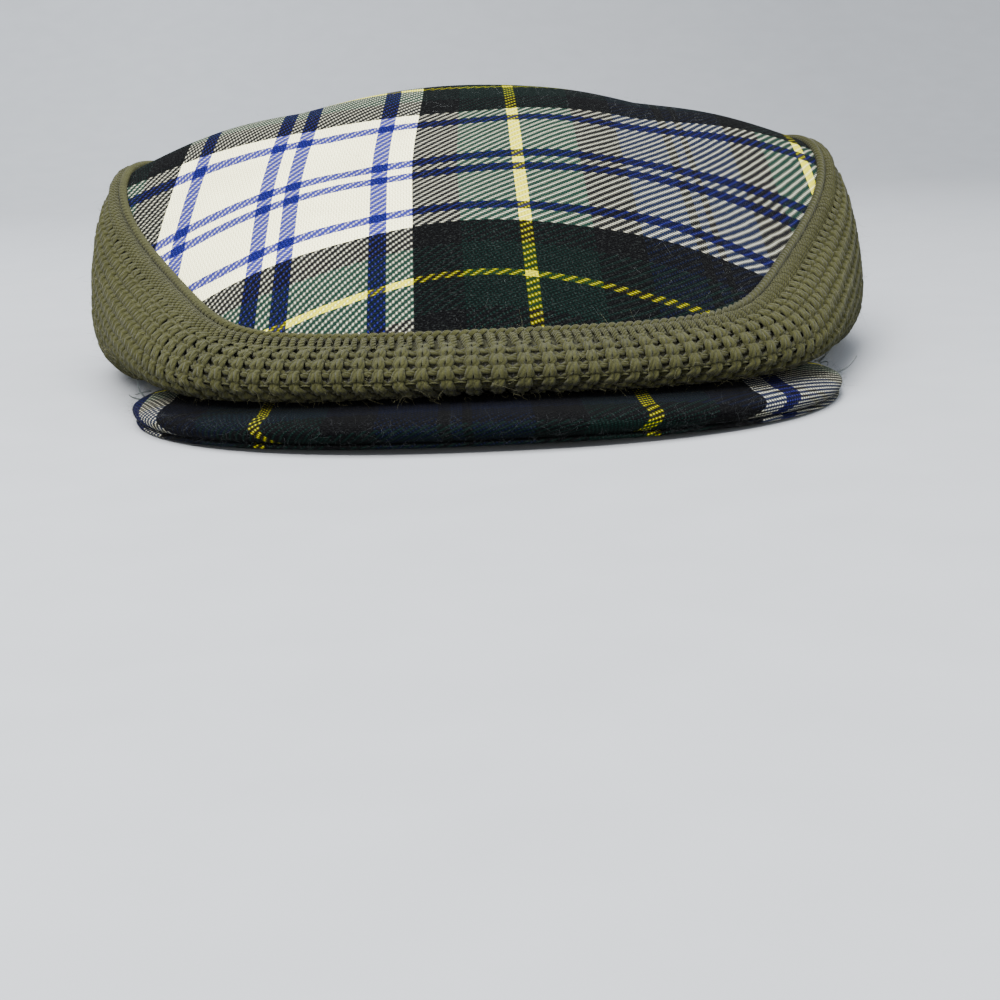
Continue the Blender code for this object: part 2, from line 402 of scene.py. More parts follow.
class Finish:
    """A material and short ways to add its nodes."""

    def __init__(self, name):
        self.material = bpy.data.materials.new(name)
        self.material.use_nodes = True
        self.nodes = self.material.node_tree.nodes
        self.links = self.material.node_tree.links
        self.shader = self.nodes["Principled BSDF"]

    def put(self, socket, value):
        if isinstance(value, bpy.types.NodeSocket):
            self.links.new(value, socket)
        else:
            socket.default_value = value

    def sums(self, operation, *values):
        node = self.nodes.new("ShaderNodeMath")
        node.operation = operation
        for socket, value in zip(node.inputs, values):
            self.put(socket, value)
        return node.outputs[0]

    def uv(self):
        node = self.nodes.new("ShaderNodeTexCoord")
        split = self.nodes.new("ShaderNodeSeparateXYZ")
        self.links.new(node.outputs["UV"], split.inputs[0])
        return split.outputs[0], split.outputs[1]

    def object_place(self):
        return self.nodes.new("ShaderNodeTexCoord").outputs["Object"]

    def noise(self, place, scale, detail=2.0, roughness=0.5):
        node = self.nodes.new("ShaderNodeTexNoise")
        self.links.new(place, node.inputs["Vector"])
        node.inputs["Scale"].default_value = scale
        node.inputs["Detail"].default_value = detail
        node.inputs["Roughness"].default_value = roughness
        return node.outputs["Fac"]

    def spread(self, value, low, high, low_to=0.0, high_to=1.0):
        node = self.nodes.new("ShaderNodeMapRange")
        self.put(node.inputs["Value"], value)
        ends = {"From Min": low, "From Max": high, "To Min": low_to, "To Max": high_to}
        for name, number in ends.items():
            self.put(node.inputs[name], number)
        return node.outputs[0]

    def mix(self, share, first, second, blend="MIX"):
        node = self.nodes.new("ShaderNodeMix")
        node.data_type = "RGBA"
        node.blend_type = blend
        self.put(node.inputs["Factor"], share)
        self.put(node.inputs["A"], first if isinstance(first, bpy.types.NodeSocket) else (*first, 1))
        self.put(node.inputs["B"], second if isinstance(second, bpy.types.NodeSocket) else (*second, 1))
        return node.outputs["Result"]

    def shade(self, colour, light):
        """The colour at a share of its brightness, which is at most 1."""
        return self.mix(1.0, colour, self.mix(light, BLACK, WHITE), "MULTIPLY")

    def bump(self, height, strength, distance, normal=None):
        node = self.nodes.new("ShaderNodeBump")
        node.inputs["Strength"].default_value = strength
        node.inputs["Distance"].default_value = distance
        self.links.new(height, node.inputs["Height"])
        if normal is not None:
            self.links.new(normal, node.inputs["Normal"])
        return node.outputs[0]

    def dye_lookup(self, thread):
        """The sett's colour for a thread's number, which starts again past the sett's count."""
        ramp = self.nodes.new("ShaderNodeValToRGB")
        ramp.color_ramp.interpolation = "CONSTANT"
        stops = ramp.color_ramp.elements
        passed = 0
        for place, (dye, count) in enumerate(SETT):
            share = passed / SETT_THREADS
            stop = stops[place] if place < 1 else stops.new(share)
            stop.position = share
            stop.color = (*DYES[dye], 1)
            passed += count
        while len(stops) > len(SETT):
            stops.remove(stops[-1])
        in_sett = self.sums("FLOORED_MODULO", thread, float(SETT_THREADS))
        self.links.new(self.sums("DIVIDE", in_sett, float(SETT_THREADS)), ramp.inputs[0])
        return ramp.outputs[0]


# The twill: the threads a float lies over, how flat threads lie, and how far they stray, in threads
FLOAT = 2.0
FLATNESS = 0.4
WARP_STRAY = 0.22
WEFT_STRAY = 0.30

# How much of a thread its neighbour's fibres hide, where its bare middle and its hollows with painted
# shade are by height, and the pale flecks on it
HIDDEN_AT_SIDES = 0.91
HIDDEN_AT_MIDDLE = 0.45
BARE_FROM = 0.85
HOLLOW_UP_TO = 0.8
PAINTED_HOLLOW_SHADE = 0.50
FLECKS = 0.09
FLECK = (0.13, 0.15, 0.14)


def thread_float(finish, along, first):
    """How high a thread stands along its float, which starts at first, 0 to 1."""
    place = finish.sums("FLOORED_MODULO", finish.sums("SUBTRACT", along, first), 2 * FLOAT)
    rise = finish.sums("ABSOLUTE", finish.sums("SINE", finish.sums("MULTIPLY", place, math.pi / FLOAT)))
    return finish.sums("POWER", rise, FLATNESS)


def thread_round(finish, across):
    """How high a thread stands across its width, 0 to 1."""
    place = finish.sums("MULTIPLY", finish.sums("FRACT", across), math.pi)
    return finish.sums("POWER", finish.sums("SINE", place), FLATNESS)


def partly_hidden(finish, top, under, share):
    """A thread's colour where its neighbour's fibres hide a share of it."""
    return finish.mix(1.0, top, finish.mix(share, WHITE, under), "MULTIPLY")


def tartan_twill(name, shade=1.0, fuzz=1.0):
    """The tartan's threads in a two-by-two twill, from a UV map in metres of flat cloth."""
    finish = Finish(name)
    place = finish.object_place()
    across, along = finish.uv()
    warp_noise = finish.noise(place, scale=900, detail=3)
    weft_noise = finish.noise(place, scale=260, detail=2)
    warp_stray = finish.spread(warp_noise, 0.0, 1.0, -WARP_STRAY, WARP_STRAY)
    weft_stray = finish.spread(weft_noise, 0.0, 1.0, -WEFT_STRAY, WEFT_STRAY)
    warp = finish.sums("ADD", finish.sums("DIVIDE", across, THREAD), warp_stray)
    weft = finish.sums("ADD", finish.sums("DIVIDE", along, THREAD), weft_stray)
    warp_number = finish.sums("FLOOR", warp)
    weft_number = finish.sums("FLOOR", weft)
    warp_dye = finish.dye_lookup(finish.sums("ADD", warp_number, YELLOW_THREAD + 0.5))
    weft_dye = finish.dye_lookup(finish.sums("SUBTRACT", YELLOW_THREAD + 0.5, weft_number))
    step = finish.sums("FLOORED_MODULO", finish.sums("SUBTRACT", warp_number, weft_number), 2 * FLOAT)
    weft_up = finish.sums("GREATER_THAN", step, FLOAT - 0.5)
    warp_up = finish.sums("SUBTRACT", 1.0, weft_up)

    warp_float = thread_float(finish, weft, finish.sums("SUBTRACT", warp_number, FLOAT - 1))
    weft_float = thread_float(finish, warp, finish.sums("ADD", weft_number, FLOAT))
    warp_height = finish.sums("MULTIPLY", thread_round(finish, warp), warp_float)
    weft_height = finish.sums("MULTIPLY", thread_round(finish, weft), weft_float)
    height = finish.sums(
        "ADD",
        finish.sums("MULTIPLY", weft_height, weft_up),
        finish.sums("MULTIPLY", warp_height, warp_up),
    )
    top = finish.mix(weft_up, warp_dye, weft_dye)
    under = finish.mix(weft_up, weft_dye, warp_dye)
    sides = partly_hidden(finish, top, under, HIDDEN_AT_SIDES)
    middle = partly_hidden(finish, top, under, HIDDEN_AT_MIDDLE)
    colour = finish.mix(finish.spread(height, BARE_FROM, 1.0), sides, middle)
    # Painted shade: the hollows between the threads are darkened by how low the cloth lies there
    colour = finish.shade(colour, finish.spread(height, 0.0, HOLLOW_UP_TO, PAINTED_HOLLOW_SHADE, 1.0))
    wool = finish.noise(place, scale=2600, detail=4, roughness=0.7)
    flecks = finish.noise(place, scale=1500, detail=3, roughness=0.6)
    colour = finish.mix(finish.spread(flecks, 0.54, 0.74, 0.0, FLECKS * fuzz), colour, FLECK)
    patches = finish.noise(place, scale=34, detail=3)
    colour = finish.shade(colour, finish.spread(patches, 0.3, 0.7, 0.86 * shade, 1.05 * shade))

    shader = finish.shader.inputs
    finish.links.new(colour, shader["Base Color"])
    finish.links.new(finish.spread(wool, 0.3, 0.7, 0.86, 0.98), shader["Roughness"])
    shader["Specular IOR Level"].default_value = 0.02
    shader["Sheen Weight"].default_value = 0.008
    shader["Sheen Roughness"].default_value = 0.45
    fibres = finish.bump(wool, strength=0.35, distance=0.00025)
    threads = finish.bump(height, strength=0.8, distance=0.00032, normal=fibres)
    finish.links.new(threads, shader["Normal"])
    return finish.material


# The yarn: its plies' turns along and round it, and the painted shade in the knit's hollows by how far
# the yarn stands out, in millimetres
PLIES_ALONG = 10.0
PLIES_AROUND = 3.0
STANDING = "standing"
PAINTED_SHADE_DEPTHS = (-0.7, 1.3)
PAINTED_SHADE_LIGHT = (0.08, 1.30)


def toned(colour, light):
    return tuple(light * part for part in colour)


def olive_yarn(name, shade=1.0, sunk=False):
    """Plied wool: the plies wind round the yarn, and fine fibres lie over them; painted shade where sunk.
    """
    finish = Finish(name)
    place = finish.object_place()
    along, around = finish.uv()
    wound_along = finish.sums("MULTIPLY", along, PLIES_ALONG)
    wound_around = finish.sums("MULTIPLY", around, PLIES_AROUND)
    twist = finish.sums("MULTIPLY", finish.sums("ADD", wound_along, wound_around), math.pi)
    plies = finish.sums("ABSOLUTE", finish.sums("SINE", twist))
    fibres = finish.noise(place, scale=2200, detail=4, roughness=0.7)
    patches = finish.spread(finish.noise(place, scale=70, detail=3), 0.3, 0.7)
    colour = finish.mix(patches, toned(OLIVE, 0.86 * shade), toned(OLIVE, 1.14 * shade))
    # Painted shade in the grooves between the plies
    colour = finish.shade(colour, finish.spread(plies, 0.0, 0.6, 0.62, 1.0))
    fuzz = finish.spread(fibres, 0.45, 0.75, 0.0, 0.5)
    colour = finish.mix(fuzz, colour, toned(OLIVE, 2.1 * shade))
    if sunk:
        depth = finish.nodes.new("ShaderNodeAttribute")
        depth.attribute_name = STANDING
        # Painted shade: the knit yarn is darkened where it stands back from the knit's face, as in the
        # shade of its hollows
        light = finish.spread(depth.outputs["Fac"], *PAINTED_SHADE_DEPTHS, *PAINTED_SHADE_LIGHT)
        colour = finish.shade(colour, light)

    shader = finish.shader.inputs
    finish.links.new(colour, shader["Base Color"])
    finish.links.new(finish.spread(fibres, 0.3, 0.7, 0.88, 0.98), shader["Roughness"])
    shader["Specular IOR Level"].default_value = 0.06
    shader["Sheen Weight"].default_value = 0.05
    shader["Sheen Roughness"].default_value = 0.5
    fine = finish.bump(fibres, strength=0.8, distance=0.0004)
    wound = finish.bump(plies, strength=0.8, distance=0.00035, normal=fine)
    finish.links.new(wound, shader["Normal"])
    return finish.material


def fibre_finish(name, colour):
    """One loose fibre's colour, which changes from place to place."""
    finish = Finish(name)
    tint = finish.spread(finish.noise(finish.object_place(), scale=900), 0.3, 0.7, 0.6, 1.2)
    finish.links.new(finish.shade(colour, tint), finish.shader.inputs["Base Color"])
    finish.links.new(finish.spread(tint, 0.6, 1.2, 0.62, 0.78), finish.shader.inputs["Roughness"])
    return finish.material


def paper_finish(name, colour):
    """Matt paper, with painted light: a little paler towards the left."""
    finish = Finish(name)
    place = finish.object_place()
    split = finish.nodes.new("ShaderNodeSeparateXYZ")
    finish.links.new(place, split.inputs[0])
    grain = finish.noise(place, scale=40, detail=3)
    clouds = finish.spread(grain, 0.3, 0.7, 0.95, 1.0)
    # Painted light: the paper is paler towards the left and darker towards the right, as the light falls
    # off away from the left
    painted_light_falloff = finish.spread(split.outputs[0], -0.35, 0.45, 1.0, 0.70)
    shown = finish.shade(colour, finish.sums("MULTIPLY", clouds, painted_light_falloff))
    finish.links.new(shown, finish.shader.inputs["Base Color"])
    finish.links.new(finish.spread(grain, 0.3, 0.7, 0.86, 0.94), finish.shader.inputs["Roughness"])
    finish.links.new(finish.bump(grain, strength=0.1, distance=0.0005), finish.shader.inputs["Normal"])
    return finish.material


# The crown

def arc_from(points, start):
    """Distance along a row of points from where its y is start."""
    lengths = arc_lengths(points)
    return lengths - np.interp(start, points[:, 1], lengths)


# The cloth's lay on the crown: how its weft lines bow and skew, and its warp lines ease and spread
WEFT_BOW = 126.0
WEFT_BOW_MIDDLE = -0.013
WEFT_BOW_WIDTH = 0.075
WEFT_SKEW = 0.05
SKEW_BETWEEN = (-0.06, 0.0)
WARP_EASE = 0.0040
EASE_BETWEEN = (-0.02, 0.05)
EASE_LEFT_BETWEEN = (-0.0127, 0.0157)
WARP_SCALE = 0.86
SIDE_STRETCH = (1.05, 2.05)
PAST_EDGE = 1.05

# The cloth as cut, and as it lies: it runs on a little under the rolled edge
CLOTH_WALL = 0.0011
UNDER_EDGE = 1.012
CROWN_COLUMNS = 216
CROWN_ROWS = 56

# Its waves, in radians a metre along x and y with their phase, its dent, and its puff and puckers
BROAD_WAVES = ((41, 23, 0.6), (-19, 37, 1.9), (83, -52, 0.0))
BROAD_HEIGHT = 0.00045
DENT_MIDDLE = (0.060, 0.050)
DENT_SIZE = (0.020, 0.045)
DENT_DEPTH = 0.0016
EDGE_PUFF = 0.0018
PUFF_BETWEEN = (-0.09, 0.0)
PUCKER_HEIGHT = 0.00022


def crown_line():
    """The crown's middle line, from past its front edge over the crest to past its back edge."""
    front = panel_points(0.0, np.linspace(PAST_EDGE, 0, 80))
    back = panel_points(math.pi, np.linspace(0, PAST_EDGE, 60))[1:]
    return np.concatenate((front, back))


def crown_cloth_place(points):
    """Where points of the crown lie on the flat cloth: across and along from the yellow crossing."""
    x = points[:, 0]
    y = points[:, 1]
    bow = WEFT_BOW * x * x / (1 + (x / WEFT_BOW_WIDTH) ** 2)
    skew = WEFT_SKEW * smooth_step(y, *SKEW_BETWEEN) * x
    straight_y = (y - skew + WEFT_BOW_MIDDLE * bow) / (1 + bow)
    line = crown_line()
    along = np.interp(straight_y, line[:, 1], arc_from(line, YELLOW_WEFT_Y))
    left = smooth_step(-x, *EASE_LEFT_BETWEEN)
    eased = x - WARP_EASE * smooth_step(y, *EASE_BETWEEN) * left
    aside = eased - YELLOW_WARP_X
    stretch = np.where(aside < 0, *SIDE_STRETCH)
    across = aside * (WARP_SCALE + stretch * np.abs(aside))
    return across, along


def undulation(points, edge_share):
    """How far the cloth stands off its even form: broad waves, and small puckers beside the seam."""
    x = points[:, 0]
    y = points[:, 1]
    first, second, third = (np.sin(a * x + b * y + phase) for a, b, phase in BROAD_WAVES)
    aside = (x - DENT_MIDDLE[0]) / DENT_SIZE[0]
    behind = (y - DENT_MIDDLE[1]) / DENT_SIZE[1]
    broad = BROAD_HEIGHT * (first * second + 0.6 * third)
    broad -= DENT_DEPTH * np.exp(-(aside**2) - behind**2)
    turn = np.arctan2(x, CREST[1] - y)
    puckers = np.sin(37 * turn + 1.3 * np.sin(5 * turn)) + 0.6 * np.sin(61 * turn + 0.7)
    puff = np.sin(math.pi * np.clip(2 * edge_share - 1, 0, 1))
    puff *= 0.5 + 0.5 * smooth_step(y, *PUFF_BETWEEN)
    return broad * (1 - edge_share**4) + PUCKER_HEIGHT * puckers * edge_share**12 + EDGE_PUFF * puff


def crown_panel(cloth):
    piece = grid_piece("crown_cloth", CROWN_COLUMNS, CROWN_ROWS)
    flat = coordinates(piece)
    share = flat[:, 1]
    points = panel_points(flat[:, 0] * TURN, share * UNDER_EDGE)
    across, along = crown_cloth_place(points)
    points[:, 2] += undulation(points, share)
    set_coordinates(piece, points)
    set_uv(piece, across, along)
    close_seams(piece)
    with open_mesh(piece) as bm:
        bmesh.ops.recalc_face_normals(bm, faces=bm.faces)
    if sum(p.normal.z for p in piece.data.polygons) < 0:
        piece.data.flip_normals()
    give_wall(piece, CLOTH_WALL, -1)
    return finish_piece(piece, cloth, ["crown_panel"])


# The knit band

class BandMap:
    """Places on the band by how far round it (0 to 1) and how far down from the seam, in metres."""

    ROUND = 720
    DOWN_STEP = 0.0005

    def __init__(self):
        turns = np.linspace(0, TURN, 2001)
        ring = band_points(turns, BAND_UPPER_SHARE * 0.7)
        lengths = arc_lengths(ring)
        self.length = lengths[-1]
        self.turns = np.interp(np.arange(self.ROUND) / self.ROUND, lengths / lengths[-1], turns)
        shares = np.linspace(0, 1, 301)
        fine = band_points(self.turns[:, None], shares[None, :])
        down = np.cumsum(np.linalg.norm(np.diff(fine, axis=1), axis=2), axis=1)
        down = np.concatenate((np.zeros((self.ROUND, 1)), down), axis=1)
        self.reach = down[:, -1]
        steps = int(self.reach.max() / self.DOWN_STEP) + 2
        wanted = np.arange(steps) * self.DOWN_STEP
        self.places = np.empty((self.ROUND, steps, 3))
        for i in range(self.ROUND):
            for axis in range(3):
                self.places[i, :, axis] = np.interp(wanted, down[i], fine[i, :, axis])
        around = np.roll(self.places, -2, axis=0) - np.roll(self.places, 2, axis=0)
        along = np.gradient(self.places, axis=1)
        past = wanted[None, :] > self.reach[:, None] - self.DOWN_STEP
        for i in range(self.ROUND):
            last = max(1, int(np.argmax(past[i])) - 1) if past[i].any() else steps - 1
            along[i, last:] = along[i, last - 1]
        normal = np.cross(along, around)
        self.normals = normalised(normal)

    def look_up(self, table, share, down):
        u = (share % 1.0) * self.ROUND
        v = np.clip(down / self.DOWN_STEP, 0, table.shape[1] - 1.001)
        i = np.floor(u).astype(int)
        j = np.floor(v).astype(int)
        fu = (u - i)[:, None]
        fv = (v - j)[:, None]
        k = (i + 1) % self.ROUND
        i = i % self.ROUND
        low = table[i, j] * (1 - fu) + table[k, j] * fu
        high = table[i, j + 1] * (1 - fu) + table[k, j + 1] * fu
        return low * (1 - fv) + high * fv

    def wrap(self, share, down, out):
        """Points on the band, or out from it; above the seam it runs on straight under the edge."""
        normal = normalised(self.look_up(self.normals, share, down))
        start = np.zeros_like(down)
        inward = self.look_up(self.places, share, start) - self.look_up(self.places, share, start + 0.001)
        above = np.clip(-down, 0, None) / 0.001
        points = self.look_up(self.places, share, down) + inward * above[:, None] + normal * out[:, None]
        points[:, 2] = np.maximum(points[:, 2], FLOOR_REST)
        return points

    def reach_at(self, share):
        closed = np.append(self.reach, self.reach[0])
        return np.interp((share % 1.0) * self.ROUND, np.arange(self.ROUND + 1), closed)


def stitch_path(turn, rib):
    """The yarn's way through one rib repeat, a knit and a purl stitch: across, down and out."""
    across = rib * turn / (4 * math.pi) + LOOP_WIDENING * np.sin(2 * turn)
    down = PURL_DROP * np.clip(-np.sin(turn / 2), 0, None) ** 2 - LOOP_HEIGHT * np.cos(turn)
    out = (RIB_DEPTH - LOOP_DEPTH * np.cos(2 * turn)) * np.sin(turn / 2)
    return np.stack((across, down, out), axis=-1)


def tube_round(middle, along, angle, radius):
    """Points at angles round a strand whose middle and direction are given."""
    side = normalised(np.cross(UPWARD, along))
    up = normalised(np.cross(along, side))
    return middle + radius * (np.cos(angle)[:, None] * side + np.sin(angle)[:, None] * up)


def stitch_tube(name, rib):
    """One rib repeat of yarn, a grid wrapped round the stitch's path."""
    piece = grid_piece(name, YARN_STEPS, YARN_SIDES)
    flat = coordinates(piece)
    turn = flat[:, 0] * 4 * math.pi
    along = stitch_path(turn + 1e-3, rib) - stitch_path(turn - 1e-3, rib)
    set_coordinates(piece, tube_round(stitch_path(turn, rib), along, flat[:, 1] * TURN, YARN_RADIUS))
    return piece


def repeat(piece, *counts_and_steps):
    """Arrays a piece, applied; each step is the shift from one copy to the next."""
    for count, step in counts_and_steps:
        array = piece.modifiers.new("repeat", "ARRAY")
        array.count = count
        array.use_relative_offset = False
        array.use_constant_offset = True
        array.constant_offset_displace = step
        array.use_merge_vertices = False
    apply_modifiers(piece)


def rib_spread(share):
    """The ribs are pulled a little wider apart in the middle of the front."""
    aside = (share + 0.5) % 1.0 - 0.5
    return share + FRONT_WIDENING * (aside / FRONT_WIDENED) * np.exp(-((aside / FRONT_WIDENED) ** 2))


def hand_wander(rib, course, phase):
    """A slow unevenness over the knit, from -1 to 1."""
    first = np.sin(1.93 * rib + 0.71 * course + phase) * np.sin(0.83 * rib - 1.37 * course + 2.1 * phase)
    second = np.sin(0.37 * rib + 0.29 * course + 3.3 * phase)
    return 0.6 * first + 0.4 * second


def knit_sector(name, band, first, last, yarn):
    """The knit from one rib repeat to another, from below the top stitches to the rim."""
    rib = band.length / RIB_REPEATS
    piece = stitch_tube(name, rib)
    unit = len(piece.data.vertices)
    ribs = last - first
    reach = band.reach_at((first + np.arange(ribs) + 0.5) / RIB_REPEATS)
    courses = int((reach.max() - TOP_STITCH) / COURSE)
    repeat(piece, (ribs, (rib, 0, 0)), (courses, (0, COURSE, 0)))
    points = coordinates(piece)
    cell = np.arange(len(points)) // unit
    rib_number = cell % ribs
    course_number = cell // ribs
    rib_place = first + points[:, 0] / rib
    course_place = points[:, 1] / COURSE
    wander_across = UNEVEN_ACROSS * hand_wander(rib_place, course_place, 0.4)
    wander_down = UNEVEN_DOWN * hand_wander(rib_place, course_place, 1.7)
    share = rib_spread((rib_place + wander_across) / RIB_REPEATS)
    down = TOP_STITCH + COURSE * FIRST_COURSE + points[:, 1] + wander_down
    depth = SHALLOW_NEAR_SEAM + (1 - SHALLOW_NEAR_SEAM) * smooth_step(down, *FULL_DEPTH_BETWEEN)
    depth *= 1 + UNEVEN_DEPTH * hand_wander(rib_place, course_place, 2.9)
    set_coordinates(piece, band.wrap(share, down, points[:, 2] * depth - KNIT_DEPTH))
    # How far each point of the yarn stands out of the knit, in millimetres; the knit's finish paints
    # shade into the hollows from it
    standing = piece.data.attributes.new(STANDING, "FLOAT", "POINT")
    standing.data.foreach_set("value", (points[:, 2] / MM).astype(np.float32))
    short = (course_number + 1) * COURSE + TOP_STITCH > reach[rib_number] + COURSE * PAST_RIM
    with open_mesh(piece) as bm:
        bm.verts.ensure_lookup_table()
        bmesh.ops.delete(bm, geom=[bm.verts[i] for i in np.flatnonzero(short)], context="VERTS")
        bmesh.ops.remove_doubles(bm, verts=bm.verts, dist=2e-6)
    return finish_piece(piece, yarn)


# A top stitch: how far down from the seam it starts, its form, its depth, and how far it strays
STRAND_START = -0.0010
STRAND_LENGTH = 0.0056
STRAND_LEAN = 0.0010
STRAND_ARC = 0.0019
STRAND_SLOPE = 0.0060
STRAND_RADIUS = 0.00102
STRAND_DEPTH = 0.0020
STRAND_STRAY = 0.2
STRAND_UNEVEN = 0.0002


def top_stitches(band, yarn):
    """The close upright strands between the rolled edge and the first course."""
    strands = RIB_REPEATS * 2
    step = band.length / strands
    piece = grid_piece("top_stitches", 8, 5)
    flat = coordinates(piece)
    run = flat[:, 0]
    level = np.ones_like(run)
    across = STRAND_LEAN * (run - 0.5)
    down = STRAND_START + STRAND_LENGTH * run
    out = STRAND_ARC * np.sin(math.pi * run)
    slope = STRAND_SLOPE * np.cos(math.pi * run)
    middle = np.stack((across, down, out), axis=-1)
    along = normalised(np.stack((STRAND_LEAN * level, STRAND_LENGTH * level, slope), axis=-1))
    set_coordinates(piece, tube_round(middle, along, flat[:, 1] * TURN, STRAND_RADIUS))
    repeat(piece, (strands, (step, 0, 0)))
    points = coordinates(piece)
    strand = points[:, 0] / step
    wander = hand_wander(strand * 0.7, 0 * strand, 0.9)
    share = rib_spread((strand + STRAND_STRAY * wander) / strands)
    out = points[:, 2] - STRAND_DEPTH + STRAND_UNEVEN * wander
    set_coordinates(piece, band.wrap(share, points[:, 1], out))
    close_seams(piece, 2e-6)
    return finish_piece(piece, yarn)


# The yarn in the knit's depth: its reach above the seam, its stop above the rim, its depth and wall
BACKING_ABOVE = 0.0045
BACKING_STOP = 0.0020
BACKING_DEPTH = 0.0014
BACKING_DEEPER = 0.0017
DEEPER_BETWEEN = (0.002, 0.007)
BACKING_WALL = 0.0006


def band_backing(band, yarn):
    """The yarn in the depth of the knit, between its two faces, darkened as painted shade in the knit's
    holes.
    """
    piece = grid_piece("band_inner_yarn", 288, 60)
    flat = coordinates(piece)
    reach = band.reach_at(flat[:, 0])
    down = -BACKING_ABOVE + flat[:, 1] * (reach + BACKING_ABOVE - BACKING_STOP)
    sunk = BACKING_DEPTH + BACKING_DEEPER * smooth_step(down, *DEEPER_BETWEEN)
    set_coordinates(piece, band.wrap(flat[:, 0], down, -sunk))
    close_seams(piece)
    give_wall(piece, BACKING_WALL, 0)
    return finish_piece(piece, yarn, ["knit_band"])


# The two-strand ropes: the length of one wind, the strands' offset from the middle and their radius
EDGE_ROPE = (0.0046, 0.00068, 0.00080)
RIM_ROPE = (0.0050, 0.00050, 0.00088)
RIM_ROPE_UP = 0.0012
RIM_ROPE_DEPTH = 0.0018
ROPE_STEPS = 10
ROPE_SIDES = 6
ROPE_YARN_SCALE = 0.2


def rope(name, route, sizes, yarn, replaces=()):
    """Two strands that wind round each other along a closed route."""
    wind_length, offset, radius = sizes
    lengths = arc_lengths(route)
    winds = round(lengths[-1] / wind_length)

    def middle_of(share):
        place = (share % 1) * lengths[-1]
        return np.stack([np.interp(place, lengths, route[:, axis]) for axis in range(3)], axis=-1)

    def strand_path(share, strand):
        ahead = middle_of(share + 1e-3) - middle_of(share - 1e-3)
        out = normalised(np.cross(ahead, UPWARD))
        angle = TURN * (winds * share + strand / 2)
        turned = np.cos(angle)[:, None] * out + np.sin(angle)[:, None] * UPWARD
        return middle_of(share) + offset * turned

    strands = []
    for strand in range(2):
        piece = grid_piece(name, winds * ROPE_STEPS, ROPE_SIDES)
        flat = coordinates(piece)
        share = flat[:, 0]
        along = normalised(strand_path(share + 2e-4, strand) - strand_path(share - 2e-4, strand))
        points = tube_round(strand_path(share, strand), along, flat[:, 1] * TURN, radius)
        points[:, 2] = np.maximum(points[:, 2], FLOOR_REST)
        set_coordinates(piece, points)
        set_uv(piece, share * winds * ROPE_YARN_SCALE, flat[:, 1])
        close_seams(piece, 2e-6)
        strands.append(piece)
    select_only(strands[0])
    strands[1].select_set(True)
    bpy.ops.object.join()
    return finish_piece(strands[0], yarn, replaces)


def rolled_edge(yarn):
    """The twisted edge round the seam."""
    turns = np.linspace(0, TURN, 4001)
    seam = ring_points("seam", turns)
    seam[:, :2] += seam_inward(turns) * (EDGE_ROLL_RADIUS + GAP)
    return rope("rolled_edge", seam, EDGE_ROPE, yarn, ["seam_edging"])


def rim_roll(band, yarn):
    """The twisted edge round the head opening, in which the knit ends."""
    share = np.linspace(0, 1, 4001)
    depth = np.full(len(share), -RIM_ROPE_DEPTH)
    route = band.wrap(share, band.reach_at(share) - RIM_ROPE_UP, depth)
    return rope("rim_roll", route, RIM_ROPE, yarn)


# The peak

PEAK_STEPS = 132

# How far the lip's roundness runs in over the cloth, above and below, in halves of the thickness
PEAK_LIP_FULLNESS = 4.2
PEAK_LOWER_FULLNESS = 1.2

# Where the tartan's lines lie on the peak, and its scale there
PEAK_CLOTH_MIDDLE = -0.0096
PEAK_YELLOWS_APART = 0.0925
PEAK_CLOTH_SCALE = YELLOWS_APART * THREAD / PEAK_YELLOWS_APART
PEAK_YELLOW_WEFT_Y = -0.152


